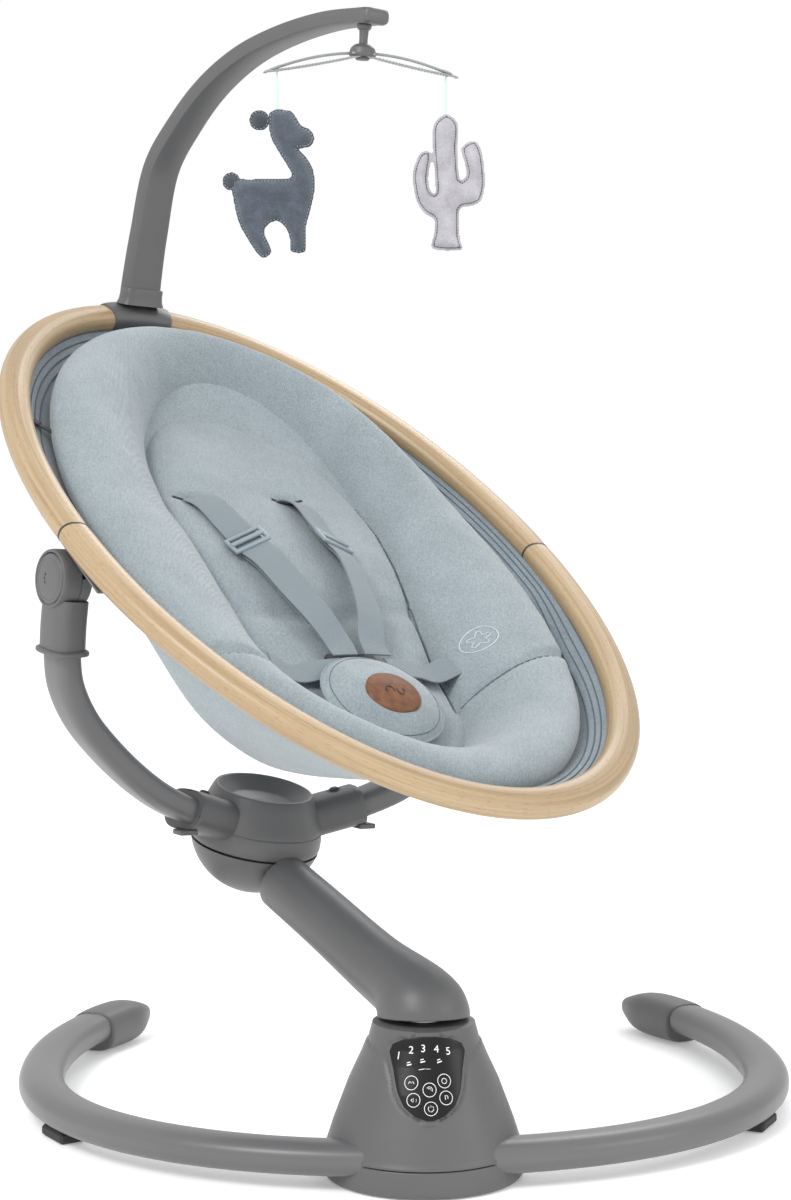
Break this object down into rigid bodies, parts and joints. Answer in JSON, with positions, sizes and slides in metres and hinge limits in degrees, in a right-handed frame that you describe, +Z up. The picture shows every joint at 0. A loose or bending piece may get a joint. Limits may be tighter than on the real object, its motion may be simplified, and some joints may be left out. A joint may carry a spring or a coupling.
{
  "type": "baby swing",
  "caption": "Motor-driven baby swing: a hooped fabric seat on two arms turns on a stalk over a cone housing and an open floor ring, with a toy mobile above.",
  "frame": {"origin": "centre of the motor housing's flat underside, on the floor", "axes": "+Z up; -Y towards the front of the base, where the control panel is; +X to the right as seen from the front"},
  "size_m": [0.6264, 0.5766, 0.859],
  "materials": {
    "grey_plastic": "moulded grey plastic with a fine satin grain",
    "frame_metal": "tube with a smooth grey powder coat",
    "dark_plastic": "dark grey moulded plastic",
    "foot_rubber": "dark anti-slip rubber",
    "steel": "turned steel",
    "panel_gloss": null,
    "circuit_board": "lacquered green board",
    "beech": "pale beech with a satin lacquer",
    "cover_fabric": "pale blue-grey woven fabric",
    "webbing": "pale grey ribbed webbing",
    "pale_plastic": "pale grey moulded plastic",
    "leather": "brown leather",
    "slate_felt": "dark slate felt",
    "grey_felt": "pale grey felt",
    "mint_cord": "pale mint twisted cord"
  },
  "bodies": {
    "base": {"base_ring_left": "frame_metal", "base_ring_right": "frame_metal", "ring_cap_left": "grey_plastic", "ring_cap_right": "grey_plastic", "ring_foot_left": "foot_rubber", "ring_foot_right": "foot_rubber", "housing_shell": "grey_plastic", "housing_base": "grey_plastic", "control_panel": "panel_gloss", "power_inlet": "dark_plastic", "circuit_board": "circuit_board", "speaker": "dark_plastic", "gear_motor": "steel", "bearing_upper": "steel", "bearing_lower": "steel"},
    "pinion": {"motor_pinion": "steel"},
    "swing": {"swing_shaft": "steel", "swing_gear": "dark_plastic", "stalk": "grey_plastic", "hub_body": "grey_plastic", "hub_dish": "grey_plastic", "support_arm_left": "frame_metal", "support_arm_right": "frame_metal", "hinge_housing_left": "grey_plastic", "hinge_housing_right": "grey_plastic", "hinge_pin_left": "steel", "hinge_pin_right": "steel"},
    "snap_left": {"snap_button_left": "dark_plastic"},
    "snap_right": {"snap_button_right": "dark_plastic"},
    "recline_left": {"recline_button_left": "grey_plastic"},
    "recline_right": {"recline_button_right": "grey_plastic"},
    "seat": {"hoop_head": "beech", "hoop_foot": "beech", "hoop_bracket_left": "frame_metal", "hoop_bracket_right": "frame_metal", "seat_sling": "cover_fabric", "seat_liner": "cover_fabric", "newborn_insert": "cover_fabric", "shoulder_strap_left": "webbing", "shoulder_strap_right": "webbing", "waist_strap_left": "webbing", "waist_strap_right": "webbing", "strap_adjuster_left": "pale_plastic", "strap_adjuster_right": "pale_plastic", "buckle_body": "dark_plastic", "crotch_cover": "cover_fabric", "leather_patch": "leather", "zip_puller": "dark_plastic"},
    "buckle_key": {"buckle_button": "dark_plastic"},
    "toy_bar": {"toy_bar_clamp": "grey_plastic", "toy_arm": "grey_plastic", "mobile_pin": "grey_plastic"},
    "mobile": {"mobile_bar": "grey_plastic"},
    "llama": {"toy_string_left": "mint_cord", "toy_llama": "slate_felt"},
    "cactus": {"toy_string_right": "mint_cord", "toy_cactus": "grey_felt"}
  },
  "joints": [
    {"name": "seat_swing", "type": "hinge", "parent": "base", "child": "swing", "pos_m": [0, 0, 0.1143], "axis": [0, 0.1184, 0.993], "range_deg": [-67.6, 0]},
    {"name": "pinion_turn", "type": "hinge", "parent": "base", "child": "pinion", "pos_m": [0, 0.0303, 0.06436], "axis": [0, 0.1184, 0.993], "range_deg": [0, 202.8]},
    {"name": "seat_recline", "type": "hinge", "parent": "swing", "child": "seat", "pos_m": [-0.07787, 0.15343, 0.41854], "axis": [0.831, 0.5524, -0.0659], "range_deg": [-13, 13]},
    {"name": "snap_left_press", "type": "slide", "parent": "swing", "child": "snap_left", "axis": [-0.2787, -0.1622, -0.9466], "range_m": [0, 0.003], "stiffness_N_per_m": 600},
    {"name": "snap_right_press", "type": "slide", "parent": "swing", "child": "snap_right", "axis": [0.1515, 0.1238, -0.9807], "range_m": [0, 0.003], "stiffness_N_per_m": 600},
    {"name": "recline_left_press", "type": "slide", "parent": "swing", "child": "recline_left", "axis": [0.831, 0.5524, -0.0659], "range_m": [0, 0.003], "stiffness_N_per_m": 800},
    {"name": "recline_right_press", "type": "slide", "parent": "swing", "child": "recline_right", "axis": [-0.831, -0.5524, 0.0659], "range_m": [0, 0.003], "stiffness_N_per_m": 800},
    {"name": "buckle_press", "type": "slide", "parent": "seat", "child": "buckle_key", "axis": [-0.341, 0.4122, -0.8449], "range_m": [0, 0.0018], "stiffness_N_per_m": 500},
    {"name": "toy_bar_release", "type": "slide", "parent": "seat", "child": "toy_bar", "axis": [0.341, -0.4122, 0.8449], "range_m": [0, 0.05]},
    {"name": "mobile_spin", "type": "hinge", "parent": "toy_bar", "child": "mobile", "pos_m": [-0.03666, 0.13994, 0.82532], "axis": [0.0659, 0.0199, 0.9976], "continuous": true},
    {"name": "llama_sway", "type": "hinge", "parent": "mobile", "child": "llama", "pos_m": [-0.10175, 0.13248, 0.81045], "axis": [0.9986, -0.0523, 0], "range_deg": [-25, 25]},
    {"name": "cactus_sway", "type": "hinge", "parent": "mobile", "child": "cactus", "pos_m": [0.02718, 0.14693, 0.80946], "axis": [0.9986, -0.0523, 0], "range_deg": [-25, 25]}
  ],
  "couplings": [
    {"joint": "pinion_turn", "follows": "seat_swing", "ratio": -3}
  ]
}
